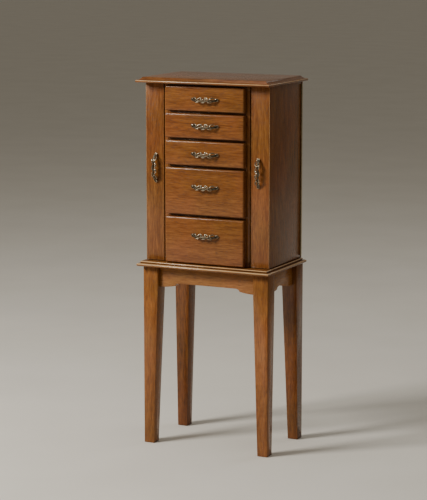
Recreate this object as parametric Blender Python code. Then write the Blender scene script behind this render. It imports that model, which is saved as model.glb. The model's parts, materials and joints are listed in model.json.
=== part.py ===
"""Jewelry armoire on four legs: flip-top lid with mirror, ring tray, five drawers, two swing-out doors.

Metres, +Z up, front towards -Y. The origin is on the floor, at the centre of the lid's footprint.
"""

import math

import bmesh
import bpy
from mathutils import Matrix, Vector

# ---- driving dimensions -------------------------------------------------------------------------

TOTAL_HEIGHT = 1.016
TOP_WIDTH = 0.395
TOP_DEPTH = 0.260
LID_THICKNESS = 0.0145
BODY_WIDTH = 0.3685
DOOR_FRONT_Y = -0.0935
BODY_BACK_Y = 0.1245
GAP = 0.0003

STAND_TOP_Z = 0.5135
MOULDING_THICKNESS = 0.014
LEG_OUTER_X = 0.18725
LEG_FRONT_Y = -0.1075
LEG_BACK_Y = 0.1280
LEG_TOP_SIDE = 0.044
LEG_FOOT_SIDE = 0.030
LEG_TAPER_TOP_Z = 0.436
APRON_SETBACK = 0.013
APRON_THICKNESS = 0.018
APRON_BOTTOM_Z = 0.4535
BRACKET_BOTTOM_Z = 0.4410
BRACKET_LENGTH = 0.046
BRACKET_RISE = 0.005
BRACKET_COVE = 0.0135
LEG_EDGE = 0.0012

BOARD = 0.012
PARTITION = 0.011
DOOR_BOTTOM_Z = 0.5150
DOOR_TOP_Z = 0.9995
DOOR_STILE_WIDTH = 0.0547
DOOR_STILE_THICKNESS = 0.012
DOOR_PANEL_THICKNESS = 0.010
DOOR_CLEARANCE = 0.0030
STILE_CLEARANCE = 0.0005
PANEL_CLEARANCE = 0.00075
BACK_PANEL_THICKNESS = 0.008

DRAWER_FRONT_WIDTH = 0.2345
DRAWER_FRONT_THICKNESS = 0.0187
DRAWER_FRONTS_TOP_Z = 0.9952
DRAWER_FRONT_GAP = 0.0072
SMALL_FRONT_HEIGHT = 0.0661
LARGE_FRONT_HEIGHT = 0.1262
DRAWER_FRONT_HEIGHTS = [SMALL_FRONT_HEIGHT] * 3 + [LARGE_FRONT_HEIGHT] * 2
DRAWER_BOX_HEIGHTS = [0.0240, 0.0520, 0.0520, 0.0950, 0.0950]
DRAWER_BOX_LENGTH = 0.198
DRAWER_SIDE_CLEARANCE = 0.001
DRAWER_WALL = 0.008
DRAWER_FLOOR = 0.004
DRAWER_FLOOR_CLEARANCE = 0.0005
DRAWER_EDGE_RADIUS = 0.0045

PULL_LENGTH = 0.082
PULL_WIDTH = 0.020
PULL_PROJECTION = 0.0162
PULL_RISE = [-0.0010, 0.0015, -0.0010, 0.0140, 0.0155]
DRAWER_PULL_X = 0.004
DOOR_PULL_X = 0.1530
DOOR_PULL_Z = 0.7695

TRAY_DEPTH = 0.0302
TRAY_WALL = 0.004
TRAY_FLOOR = 0.0035
TRAY_FRONT_Y = -0.076
TRAY_BACK_Y = 0.108
RING_ROLLS = 6
RING_ROLL_WIDTH = 0.0150
RING_ROLL_LENGTH = 0.104
RING_ROLL_HEIGHT = 0.022

MIRROR_WIDTH = 0.176
MIRROR_DEPTH = 0.136
MIRROR_FRAME = 0.012
MIRROR_FRAME_THICKNESS = 0.0055
MIRROR_THICKNESS = 0.003

HINGE_LEAF = 0.0008
HINGE_BARREL_RADIUS = 0.0020
HINGE_BORE_RADIUS = 0.0012
HINGE_PIN_RADIUS = 0.0009
DOOR_HINGE_GAP = 0.003
DOOR_HINGE_OUTSET = 0.00185
DOOR_HINGE_LEAF_WIDTH = 0.0115
DOOR_HINGE_KNUCKLES = 9
LID_HINGE_LENGTH = 0.300
LID_HINGE_LEAF_WIDTH = 0.016
LID_HINGE_KNUCKLES = 7

HOOKS = 6
HOOK_PITCH = 0.026
HOOK_WIRE_RADIUS = 0.0013
HOOK_BEND = 0.0045
POUCH_WALL = 0.003
POUCH_DEPTH = 0.028
POUCH_HEIGHT = 0.085
POUCH_SIDE_MARGIN = 0.026
POUCH_RISE = 0.020

EDGE_STEPS = 5
BEAD_STEPS = 6
ROUND_STEPS = 12
WIRE_SIDES = 8
PULL_SIDES = 10

# ---- sizes worked out from them -----------------------------------------------------------------

BODY_X = BODY_WIDTH / 2
LID_BOTTOM_Z = TOTAL_HEIGHT - LID_THICKNESS
MOULDING_BOTTOM_Z = STAND_TOP_Z - MOULDING_THICKNESS
DOOR_INNER_X = BODY_X - DOOR_STILE_WIDTH
PARTITION_OUTER_X = DOOR_INNER_X - DOOR_CLEARANCE
PARTITION_INNER_X = PARTITION_OUTER_X - PARTITION
PANEL_INNER_X = BODY_X - DOOR_PANEL_THICKNESS
BOARD_X = PANEL_INNER_X - PANEL_CLEARANCE
STILE_BACK_Y = DOOR_FRONT_Y + DOOR_STILE_THICKNESS
BACK_FRONT_Y = BODY_BACK_Y - BACK_PANEL_THICKNESS
BOARD_BACK_Y = BACK_FRONT_Y - GAP
DOOR_PIVOT_Y = BACK_FRONT_Y - DOOR_HINGE_GAP / 2
DOOR_PIVOT_X = BODY_X + DOOR_HINGE_OUTSET
DOOR_BACK_Y = BACK_FRONT_Y - DOOR_HINGE_GAP
CASE_BOTTOM_TOP_Z = STAND_TOP_Z + GAP + BOARD
CASE_TOP_Z = DOOR_TOP_Z
CASE_TOP_BOTTOM_Z = CASE_TOP_Z - BOARD
TRAY_BOTTOM_Z = CASE_TOP_BOTTOM_Z - GAP - TRAY_DEPTH
TRAY_INNER_X = PARTITION_INNER_X - GAP - TRAY_WALL
LID_PIVOT_Y = BODY_BACK_Y + GAP + HINGE_BARREL_RADIUS
LID_PIVOT_Z = LID_BOTTOM_Z - GAP - HINGE_BARREL_RADIUS

WOOD = ((0.30, 0.13, 0.045), 0.38, 0.0)
INNER_WOOD = ((0.34, 0.17, 0.07), 0.55, 0.0)
BRASS = ((0.36, 0.30, 0.20), 0.38, 1.0)
STEEL = ((0.50, 0.44, 0.33), 0.35, 1.0)
FELT = ((0.10, 0.055, 0.03), 0.95, 0.0)
GLASS_MIRROR = ((0.85, 0.87, 0.87), 0.03, 1.0)


# ---- modelling helpers --------------------------------------------------------------------------


def material_of(name, look):
    """A Principled material with the piece's colour, roughness and metallic value."""
    colour, roughness, metallic = look
    material = bpy.data.materials.new(name)
    material.use_nodes = True
    shader = material.node_tree.nodes["Principled BSDF"]
    shader.inputs["Base Color"].default_value = (*colour, 1.0)
    shader.inputs["Roughness"].default_value = roughness
    shader.inputs["Metallic"].default_value = metallic
    material.diffuse_color = (*colour, 1.0)
    return material


def add_object(name, bm, look, parent=None, origin=(0, 0, 0), smooth=None):
    """Turns a bmesh, built in world coordinates, into an object with its origin on the given point.

    smooth is the angle, in degrees, above which an edge stays sharp.
    """
    bmesh.ops.recalc_face_normals(bm, faces=bm.faces)
    mesh = bpy.data.meshes.new(name)
    bm.to_mesh(mesh)
    bm.free()
    mesh.transform(Matrix.Translation(-Vector(origin)))
    if smooth is not None:
        mesh.shade_smooth()
        mesh.set_sharp_from_angle(angle=math.radians(smooth))
    piece = bpy.data.objects.new(name, mesh)
    bpy.context.scene.collection.objects.link(piece)
    piece.location = Vector(origin) - Vector(parent.location if parent else (0, 0, 0))
    piece.parent = parent
    if look is not None:
        mesh.materials.append(material_of(name, look))
    return piece


def add_pivot(name, location):
    """An empty on a joint's axis, which the moving pieces are parented to."""
    pivot = bpy.data.objects.new(name, None)
    bpy.context.scene.collection.objects.link(pivot)
    pivot.location = location
    return pivot


def loft(rings, capped=True):
    """A bmesh skin through loops of equal point counts. Without caps, the last loop joins the first."""
    bm = bmesh.new()
    loops = [[bm.verts.new(point) for point in ring] for ring in rings]
    pairs = list(zip(loops, loops[1:]))
    if not capped:
        pairs.append((loops[-1], loops[0]))
    for lower, upper in pairs:
        count = len(lower)
        for i in range(count):
            j = (i + 1) % count
            bm.faces.new((lower[i], lower[j], upper[j], upper[i]))
    if capped:
        bm.faces.new(list(reversed(loops[0])))
        bm.faces.new(loops[-1])
    return bm


def box_mesh(low, high):
    """A box between two corners."""
    return loft([rectangle(low[0], high[0], low[1], high[1], z) for z in (low[2], high[2])])


def rectangle(x0, x1, y0, y1, z):
    """A level four-point loop."""
    return [(x0, y0, z), (x1, y0, z), (x1, y1, z), (x0, y1, z)]


def prism(outline, axis, start, end):
    """An outline swept straight along X, Y or Z. A point is its other two coordinates, in X, Y, Z order."""
    return loft([[insert(point, axis, at) for point in outline] for at in (start, end)])


def insert(point, axis, value):
    """A 3-D point from two coordinates and the third one's axis."""
    full = list(point)
    full.insert("XYZ".index(axis), value)
    return tuple(full)


def arc(centre, radius, start, end, steps):
    """Points of a circular arc, both ends included, with angles in degrees."""
    angles = [math.radians(start + (end - start) * i / steps) for i in range(steps + 1)]
    return [(centre[0] + radius * math.cos(a), centre[1] + radius * math.sin(a)) for a in angles]


def cut(piece, cutter_mesh, name):
    """Takes a hidden cutter away from a piece."""
    combine(piece, cutter_mesh, name, "DIFFERENCE")


def combine(piece, other_mesh, name, operation):
    """Joins or cuts a piece with a hidden helper object."""
    helper = add_object(name, other_mesh, None)
    helper.hide_render = True
    helper.display_type = "WIRE"
    modifier = piece.modifiers.new(name, "BOOLEAN")
    modifier.operation = operation
    modifier.solver = "EXACT"
    modifier.object = helper


def ease_edges(piece, width):
    """Rounds a piece's edges slightly."""
    bevel = piece.modifiers.new("eased_edges", "BEVEL")
    bevel.width = width
    bevel.segments = 2
    bevel.limit_method = "ANGLE"


# ---- stand --------------------------------------------------------------------------------------


def moulded_board(name, profile, bottom_z, parent=None, origin=(0, 0, 0)):
    """A board with a mitred edge profile on all four sides. A profile point is (inset, height)."""
    rings = []
    for inset, height in profile:
        x = TOP_WIDTH / 2 - inset
        y = TOP_DEPTH / 2 - inset
        rings.append(rectangle(-x, x, -y, y, bottom_z + height))
    add_object(name, loft(rings), WOOD, parent, origin, smooth=35)


def moulding_profile():
    """Two beads, the upper one set back."""
    lower_radius = 0.0040
    upper_radius = 0.0027
    set_back = 0.0080
    lower_turn = (260, 100)
    upper_turn = (250, 90)
    lower = arc((lower_radius, lower_radius), lower_radius, *lower_turn, BEAD_STEPS)
    upper_centre = (set_back + upper_radius, MOULDING_THICKNESS - upper_radius)
    upper = arc(upper_centre, upper_radius, *upper_turn, BEAD_STEPS)
    return lower + upper


def lid_profile():
    """A rounded lip at the bottom, a cove above it, and a small step up to the flat top."""
    lip_radius = 0.0028
    lip_flat = 0.0012
    cove_start = (0.0032, 0.0068)
    cove_radius = 0.0105
    cove_turn = (270, 318)
    lip_start, lip_side, lip_end = 260, 180, 100
    quarter_steps = 4
    lip = arc((lip_radius, lip_radius), lip_radius, lip_start, lip_side, quarter_steps)
    lip += arc((lip_radius, lip_radius + lip_flat), lip_radius, lip_side, lip_end, quarter_steps)
    centre = (cove_start[0], cove_start[1] + cove_radius)
    cove = arc(centre, cove_radius, *cove_turn, EDGE_STEPS)
    step_inset = 0.0130
    step_height = 0.0030
    rounding = 0.0010
    step = [
        (step_inset, LID_THICKNESS - step_height),
        (step_inset + rounding, LID_THICKNESS - rounding),
        (step_inset + 3 * rounding, LID_THICKNESS),
    ]
    return lip + cove + step


def make_leg(name, side, depth_sign):
    """A square leg that tapers on its two inner faces. The signs are -1 for left and for front."""
    outer_y = LEG_FRONT_Y if depth_sign < 0 else LEG_BACK_Y
    top = MOULDING_BOTTOM_Z - GAP
    rings = []
    for z, width in ((0, LEG_FOOT_SIDE), (LEG_TAPER_TOP_Z, LEG_TOP_SIDE), (top, LEG_TOP_SIDE)):
        xs = sorted((side * LEG_OUTER_X, side * (LEG_OUTER_X - width)))
        ys = sorted((outer_y, outer_y - depth_sign * width))
        rings.append(rectangle(*xs, *ys, z))
    ease_edges(add_object(name, loft(rings), WOOD), LEG_EDGE)


def apron_outline(half_length):
    """A rail whose lower edge rises slowly from each leg and then steps up in a cove, in (along, Z)."""
    top = MOULDING_BOTTOM_Z - GAP
    half = [(half_length, top)]
    for i in range(BEAD_STEPS + 1):
        share = i / BEAD_STEPS
        half.append((half_length - BRACKET_LENGTH * share, BRACKET_BOTTOM_Z + BRACKET_RISE * share * share))
    cove_end = half_length - BRACKET_LENGTH
    cove_bottom = BRACKET_BOTTOM_Z + BRACKET_RISE
    for i in range(1, BEAD_STEPS + 1):
        turn = math.pi / 2 * i / BEAD_STEPS
        along = cove_end - BRACKET_COVE * (1 - math.cos(turn))
        half.append((along, cove_bottom + (APRON_BOTTOM_Z - cove_bottom) * math.sin(turn)))
    return half + [(-along, z) for along, z in reversed(half)]


def make_stand():
    """Four legs, four aprons between them and the moulded board on top."""
    for side, side_name in ((-1, "left"), (1, "right")):
        for depth_sign, depth_name in ((-1, "front"), (1, "back")):
            make_leg(f"leg_{depth_name}_{side_name}", side, depth_sign)
    half_x = LEG_OUTER_X - LEG_TOP_SIDE - GAP
    for name, face_y, inward in (("front", LEG_FRONT_Y, 1), ("back", LEG_BACK_Y, -1)):
        outer = face_y + inward * APRON_SETBACK
        span = sorted((outer, outer + inward * APRON_THICKNESS))
        add_object(f"apron_{name}", prism(apron_outline(half_x), "Y", *span), WOOD)
    middle_y = (LEG_FRONT_Y + LEG_BACK_Y) / 2
    half_y = (LEG_BACK_Y - LEG_FRONT_Y) / 2 - LEG_TOP_SIDE - GAP
    outline = [(middle_y + along, z) for along, z in apron_outline(half_y)]
    for name, side in (("left", -1), ("right", 1)):
        outer = side * (LEG_OUTER_X - APRON_SETBACK)
        span = sorted((outer, outer - side * APRON_THICKNESS))
        add_object(f"apron_{name}", prism(outline, "X", *span), WOOD)
    moulded_board("base_moulding", moulding_profile(), MOULDING_BOTTOM_Z)


# ---- case ---------------------------------------------------------------------------------------


def case_board_outline():
    """The case's level boards: narrower behind the door stiles, and out to the front between them."""
    right = [
        (PARTITION_OUTER_X, DOOR_FRONT_Y),
        (PARTITION_OUTER_X, STILE_BACK_Y + STILE_CLEARANCE),
        (BOARD_X, STILE_BACK_Y + STILE_CLEARANCE),
        (BOARD_X, BOARD_BACK_Y),
    ]
    return right + [(-x, y) for x, y in reversed(right)]


def divider_levels():
    """The middle height of each gap between drawer fronts."""
    levels = []
    z = DRAWER_FRONTS_TOP_Z
    for height in DRAWER_FRONT_HEIGHTS[:-1]:
        z -= height
        levels.append(z - DRAWER_FRONT_GAP / 2)
        z -= DRAWER_FRONT_GAP
    return levels


def make_case():
    """Bottom, top with the tray's opening, back, two partitions and the dividers between the drawers."""
    outline = case_board_outline()
    add_object("case_bottom", prism(outline, "Z", STAND_TOP_Z + GAP, CASE_BOTTOM_TOP_Z), WOOD)
    top = add_object("case_top", prism(outline, "Z", CASE_TOP_BOTTOM_Z, CASE_TOP_Z), WOOD)
    low = (-TRAY_INNER_X, TRAY_FRONT_Y + TRAY_WALL, CASE_TOP_BOTTOM_Z - BOARD)
    high = (TRAY_INNER_X, TRAY_BACK_Y - TRAY_WALL, CASE_TOP_Z + BOARD)
    cut(top, box_mesh(low, high), "tray_cutout")
    low = (-BODY_X, BACK_FRONT_Y, STAND_TOP_Z + GAP)
    high = (BODY_X, BODY_BACK_Y, CASE_TOP_Z)
    add_object("case_back", box_mesh(low, high), WOOD)
    for name, side in (("left", -1), ("right", 1)):
        xs = sorted((side * PARTITION_INNER_X, side * PARTITION_OUTER_X))
        low = (xs[0], DOOR_FRONT_Y, CASE_BOTTOM_TOP_Z + GAP)
        high = (xs[1], BOARD_BACK_Y, CASE_TOP_BOTTOM_Z - GAP)
        add_object(f"partition_{name}", box_mesh(low, high), WOOD)
    half = PARTITION_INNER_X - GAP
    for number, level in enumerate(divider_levels(), 1):
        low = (-half, DOOR_FRONT_Y, level - BOARD / 2)
        high = (half, BOARD_BACK_Y, level + BOARD / 2)
        add_object(f"drawer_divider_{number}", box_mesh(low, high), WOOD)


def open_box(low, high, wall, floor):
    """A box without a lid: outside up, over the rim, and down to the inner floor."""
    rings = [rectangle(low[0], high[0], low[1], high[1], z) for z in (low[2], high[2])]
    inner = (low[0] + wall, high[0] - wall, low[1] + wall, high[1] - wall)
    rings += [rectangle(*inner, z) for z in (high[2], low[2] + floor)]
    return loft(rings)


def make_tray():
    """The ring tray that hangs in the case top, with its dividers and ring rolls."""
    half = PARTITION_INNER_X - GAP
    low = (-half, TRAY_FRONT_Y, TRAY_BOTTOM_Z)
    high = (half, TRAY_BACK_Y, TRAY_BOTTOM_Z + TRAY_DEPTH)
    add_object("ring_tray", open_box(low, high, TRAY_WALL, TRAY_FLOOR), INNER_WOOD)
    floor_z = TRAY_BOTTOM_Z + TRAY_FLOOR + GAP
    inner_front = TRAY_FRONT_Y + TRAY_WALL
    make_tray_dividers(floor_z, inner_front, TRAY_BACK_Y - TRAY_WALL)
    make_ring_rolls(floor_z, inner_front)


def make_tray_dividers(floor_z, front_y, back_y):
    """One lengthwise strip, two strips across on the right and one behind the ring rolls on the left."""
    thickness = 0.004
    rise = 0.004
    rolls_clearance = 0.0006
    top_z = TRAY_BOTTOM_Z + TRAY_DEPTH + rise
    strip = box_mesh((-thickness / 2, front_y + GAP, floor_z), (thickness / 2, back_y - GAP, top_z))
    grid = add_object("tray_dividers", strip, INNER_WOOD)
    third = (back_y - front_y) / 3
    edge = TRAY_INNER_X - GAP
    rolls_back = front_y + RING_ROLLS * RING_ROLL_WIDTH + 2 * GAP + rolls_clearance + thickness / 2
    crossings = ((0, edge, front_y + third), (0, edge, front_y + 2 * third), (-edge, 0, rolls_back))
    for number, (x0, x1, y) in enumerate(crossings, 1):
        across = box_mesh((x0, y - thickness / 2, floor_z), (x1, y + thickness / 2, top_z))
        combine(grid, across, f"tray_crossing_{number}", "UNION")


def make_ring_rolls(floor_z, front_y):
    """Padded rolls side by side on one base, with a slot for a ring's shank between them."""
    radius = RING_ROLL_WIDTH / 2
    base = 0.006
    slot_half = 0.0006
    slot_z = floor_z + base
    shoulder_z = floor_z + RING_ROLL_HEIGHT - radius
    start = front_y + 2 * GAP
    outline = [(start, floor_z)]
    for number in range(RING_ROLLS):
        middle = start + radius + number * RING_ROLL_WIDTH
        half = radius - slot_half
        outline.append((middle - half, slot_z))
        outline += arc((middle, shoulder_z), half, 180, 0, BEAD_STEPS)
        outline.append((middle + half, slot_z))
    outline.append((start + RING_ROLLS * RING_ROLL_WIDTH, floor_z))
    x0 = -TRAY_INNER_X + 2 * GAP
    add_object("ring_rolls", prism(outline, "X", x0, x0 + RING_ROLL_LENGTH), FELT, smooth=40)


# ---- hinges -------------------------------------------------------------------------------------


def rolled_leaf_outline(leaf_length, offset):
    """A hinge leaf seen along its pin: a strip along -u, offset to -v, and rolled round the pin at (0, 0)."""
    roll_turn = 290
    inner_offset = offset - HINGE_LEAF
    outer_start = 180 + math.degrees(math.asin(offset / HINGE_BARREL_RADIUS))
    inner_start = 180 + math.degrees(math.asin(min(1, inner_offset / HINGE_BORE_RADIUS)))
    roll_end = outer_start + roll_turn
    outer = arc((0, 0), HINGE_BARREL_RADIUS, outer_start, roll_end, ROUND_STEPS)
    inner = arc((0, 0), HINGE_BORE_RADIUS, roll_end, inner_start, ROUND_STEPS)
    return [(-leaf_length, -offset)] + outer + inner + [(-leaf_length, -inner_offset)]


def hinge_leaf(name, place, strip, start, length, knuckles, keeps_even, parent=None):
    """A continuous hinge's leaf, every other knuckle cut away. place turns (u, v, along) into a point."""
    outline = rolled_leaf_outline(*strip)
    rings = [[place(u, v, start + at) for u, v in outline] for at in (0, length)]
    origin = parent.location if parent else (0, 0, 0)
    leaf = add_object(name, loft(rings), STEEL, parent, origin, smooth=40)
    pitch = length / knuckles
    reach = HINGE_BARREL_RADIUS + GAP
    for number in range(knuckles):
        if (number % 2 == 0) == keeps_even:
            continue
        ends = (start + number * pitch - GAP, start + (number + 1) * pitch + GAP)
        corners = [(-reach, -2 * reach), (2 * reach, -2 * reach), (2 * reach, 2 * reach), (-reach, 2 * reach)]
        block = loft([[place(u, v, at) for u, v in corners] for at in ends])
        cut(leaf, block, f"{name}_cut_{number + 1}")


def hinge_pin(name, centre, axis, length):
    """A round pin along an axis through its centre."""
    circle = arc((0, 0), HINGE_PIN_RADIUS, 0, 360, ROUND_STEPS)[:-1]
    half = Vector(axis) * length / 2
    side = Vector(axis).orthogonal().normalized()
    other = Vector(axis).cross(side)
    rings = [[Vector(centre) + end + side * u + other * v for u, v in circle] for end in (-half, half)]
    add_object(name, loft(rings), STEEL, origin=centre, smooth=40)


# ---- lid ----------------------------------------------------------------------------------------


def make_lid():
    """The moulded lid, with a framed mirror and its hinge underneath."""
    pivot = add_pivot("lid_pivot", (0, LID_PIVOT_Y, LID_PIVOT_Z))
    moulded_board("lid_panel", lid_profile(), LID_BOTTOM_Z, pivot, pivot.location)
    middle_y = (TRAY_FRONT_Y + TRAY_BACK_Y) / 2
    x, y = MIRROR_WIDTH / 2, MIRROR_DEPTH / 2
    top = LID_BOTTOM_Z - GAP
    outer = (-x, x, middle_y - y, middle_y + y)
    inner = (-x + MIRROR_FRAME, x - MIRROR_FRAME, middle_y - y + MIRROR_FRAME, middle_y + y - MIRROR_FRAME)
    bottom = top - MIRROR_FRAME_THICKNESS
    levels = ((outer, top), (outer, bottom), (inner, bottom), (inner, top))
    rings = [rectangle(*edges, z) for edges, z in levels]
    add_object("mirror_frame", loft(rings, capped=False), WOOD, pivot, pivot.location)
    low = (inner[0] + GAP, inner[2] + GAP, top - MIRROR_THICKNESS)
    high = (inner[1] - GAP, inner[3] - GAP, top)
    add_object("lid_mirror", box_mesh(low, high), GLASS_MIRROR, pivot, pivot.location)
    make_lid_hinge(pivot)


def make_lid_hinge(pivot):
    """The lid's leaf lies under the lid, the case's leaf on the back of the case."""
    start = -LID_HINGE_LENGTH / 2
    strip = (LID_HINGE_LEAF_WIDTH, HINGE_BARREL_RADIUS)

    def under_lid(u, v, along):
        return (along, LID_PIVOT_Y + u, LID_PIVOT_Z - v)

    def on_back(u, v, along):
        return (along, LID_PIVOT_Y + v, LID_PIVOT_Z + u)

    hinge_leaf("lid_hinge_leaf", under_lid, strip, start, LID_HINGE_LENGTH, LID_HINGE_KNUCKLES, False, pivot)
    hinge_leaf("lid_hinge_case_leaf", on_back, strip, start, LID_HINGE_LENGTH, LID_HINGE_KNUCKLES, True)
    hinge_pin("lid_hinge_pin", pivot.location, (1, 0, 0), LID_HINGE_LENGTH)


# ---- doors --------------------------------------------------------------------------------------


def mirrored(outline, side):
    """An outline in (X, Y) on the right side, or its mirror image on the left."""
    return [(side * x, y) for x, y in outline]


def make_door(name, side):
    """An L-shaped side door: a narrow front stile mitred to the side panel, hinged at the rear corner."""
    pivot = add_pivot(f"{name}_pivot", (side * DOOR_PIVOT_X, DOOR_PIVOT_Y, DOOR_BOTTOM_Z))
    seam = 0.0002
    stile = [
        (DOOR_INNER_X, DOOR_FRONT_Y),
        (BODY_X - seam, DOOR_FRONT_Y),
        (PANEL_INNER_X - seam, STILE_BACK_Y),
        (DOOR_INNER_X, STILE_BACK_Y),
    ]
    panel = [
        (BODY_X, DOOR_FRONT_Y + seam),
        (BODY_X, DOOR_BACK_Y),
        (PANEL_INNER_X, DOOR_BACK_Y),
        (PANEL_INNER_X, STILE_BACK_Y + seam),
    ]
    for part, outline in (("stile", stile), ("panel", panel)):
        solid = prism(mirrored(outline, side), "Z", DOOR_BOTTOM_Z, DOOR_TOP_Z)
        add_object(f"{name}_{part}", solid, WOOD, pivot, pivot.location)
    make_door_hinge(name, side, pivot)
    make_hook_rail(name, side, pivot)
    make_pouch(name, side, pivot)
    pull_centre = (side * DOOR_PULL_X, DOOR_FRONT_Y - GAP, DOOR_PULL_Z)
    make_pull(f"{name}_pull", pull_centre, (0, 0, 1), pivot)
    make_catch(name.replace("door", "catch"), side)


def make_door_hinge(name, side, pivot):
    """One leaf on the door's rear edge, the other on the front of the back panel's edge."""
    margin = 0.006
    start = DOOR_BOTTOM_Z + margin
    length = DOOR_TOP_Z - DOOR_BOTTOM_Z - 2 * margin
    knuckles = DOOR_HINGE_KNUCKLES
    strip = (DOOR_HINGE_LEAF_WIDTH, DOOR_HINGE_GAP / 2 - GAP / 2)

    def on_door(u, v, along):
        return (side * (DOOR_PIVOT_X + u), DOOR_PIVOT_Y + v, along)

    def on_case(u, v, along):
        return (side * (DOOR_PIVOT_X + u), DOOR_PIVOT_Y - v, along)

    hinge_leaf(f"{name}_hinge_leaf", on_door, strip, start, length, knuckles, False, pivot)
    hinge_leaf(f"{name}_hinge_case_leaf", on_case, strip, start, length, knuckles, True)
    centre = (side * DOOR_PIVOT_X, DOOR_PIVOT_Y, start + length / 2)
    hinge_pin(f"{name}_hinge_pin", centre, (0, 0, 1), length)


def make_hook_rail(name, side, pivot):
    """A wooden rail on the door's inner face with a row of wire hooks for necklaces."""
    thickness = 0.008
    height = 0.022
    drop = 0.046
    end_margin = 0.003
    middle_y = (STILE_BACK_Y + DOOR_BACK_Y) / 2
    z = DOOR_TOP_Z - drop
    length = HOOKS * HOOK_PITCH + 2 * end_margin
    face_x = PANEL_INNER_X - GAP - thickness
    xs = sorted((side * (PANEL_INNER_X - GAP), side * face_x))
    low = (xs[0], middle_y - length / 2, z - height / 2)
    high = (xs[1], middle_y + length / 2, z + height / 2)
    rail = add_object(f"{name}_hook_rail", box_mesh(low, high), INNER_WOOD, pivot, pivot.location)
    for number in range(HOOKS):
        y = middle_y + (number - (HOOKS - 1) / 2) * HOOK_PITCH
        combine(rail, hook_mesh(side, face_x, y, z), f"{name}_hook_{number + 1}", "UNION")


def hook_mesh(side, face_x, y, z):
    """A wire that leaves the rail level and turns up at its end."""
    reach = 0.0055
    root = 0.0040
    bend_turn = (270, 170)
    path = [(face_x + root, z), (face_x, z)]
    path += arc((face_x - reach, z + HOOK_BEND), HOOK_BEND, *bend_turn, EDGE_STEPS)
    return tube([(side * x, y, height) for x, height in path], [HOOK_WIRE_RADIUS] * len(path), WIRE_SIDES)


def tube(path, radii, sides, flat=None, across=(0, 1, 0)):
    """A skin round a path that stays in one plane. flat gives the section's half size along across."""
    points = [Vector(point) for point in path]
    across = Vector(across)
    widths = flat or radii
    rings = []
    for i, point in enumerate(points):
        ahead = points[min(i + 1, len(points) - 1)] - points[max(i - 1, 0)]
        normal = across.cross(ahead.normalized())
        ring = []
        for k in range(sides):
            angle = 2 * math.pi * k / sides
            ring.append(point + across * widths[i] * math.cos(angle) + normal * radii[i] * math.sin(angle))
        rings.append(ring)
    return loft(rings)


def make_pouch(name, side, pivot):
    """A soft pocket at the foot of the door that catches the necklaces' ends."""
    outer = PANEL_INNER_X - GAP
    xs = sorted((side * outer, side * (outer - POUCH_DEPTH)))
    bottom_z = DOOR_BOTTOM_Z + POUCH_RISE
    low = (xs[0], STILE_BACK_Y + POUCH_SIDE_MARGIN, bottom_z)
    high = (xs[1], DOOR_BACK_Y - POUCH_SIDE_MARGIN, bottom_z + POUCH_HEIGHT)
    pocket = open_box(low, high, POUCH_WALL, POUCH_WALL)
    add_object(f"{name}_pouch", pocket, FELT, pivot, pivot.location)


def make_catch(name, side):
    """A magnetic catch under the case top, just behind the closed stile."""
    size = Vector((0.022, 0.014, 0.011))
    from_partition = 0.008
    near_x = PARTITION_OUTER_X + from_partition
    xs = sorted((side * near_x, side * (near_x + size.x)))
    front_y = STILE_BACK_Y + STILE_CLEARANCE
    top_z = CASE_TOP_BOTTOM_Z - GAP
    low = (xs[0], front_y, top_z - size.z)
    high = (xs[1], front_y + size.y, top_z)
    add_object(name, box_mesh(low, high), STEEL)


# ---- drawers ------------------------------------------------------------------------------------


def bump_at(t, place, width):
    """1 at a place along the pull, falling to 0 on both sides of it."""
    return math.exp(-(((t - place) / width) ** 2))


def make_pull(name, centre, along, parent):
    """A cast arched pull: a leaf at each foot, flat on the wood, and a scrolled bar that clears it."""
    steps = 20
    rising_share = 0.62
    rising_power = 1.5
    thin, thick = 0.0016, 0.0036
    waist = 0.0036
    leaf, leaf_place, leaf_spread = 0.0062, 0.84, 0.13
    knot, knot_spread = 0.0052, 0.16
    bar_lift = PULL_PROJECTION - thick - GAP
    path, radii, widths = [], [], []
    for i in range(steps + 1):
        t = 2 * i / steps - 1
        ease = math.sin(min(1, (1 - abs(t)) / rising_share) * math.pi / 2) ** rising_power
        thickness = thin + (thick - thin) * ease
        lift = thickness + (bar_lift - thickness) * ease
        width = waist + leaf * bump_at(abs(t), leaf_place, leaf_spread) + knot * bump_at(t, 0, knot_spread)
        path.append(Vector(centre) + Vector(along) * t * PULL_LENGTH / 2 + Vector((0, -lift, 0)))
        radii.append(thickness)
        widths.append(min(width, PULL_WIDTH / 2))
    across = Vector(along).cross(Vector((0, 1, 0)))
    skin = tube(path, radii, PULL_SIDES, widths, across)
    add_object(name, skin, BRASS, parent, parent.location, smooth=50)


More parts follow.
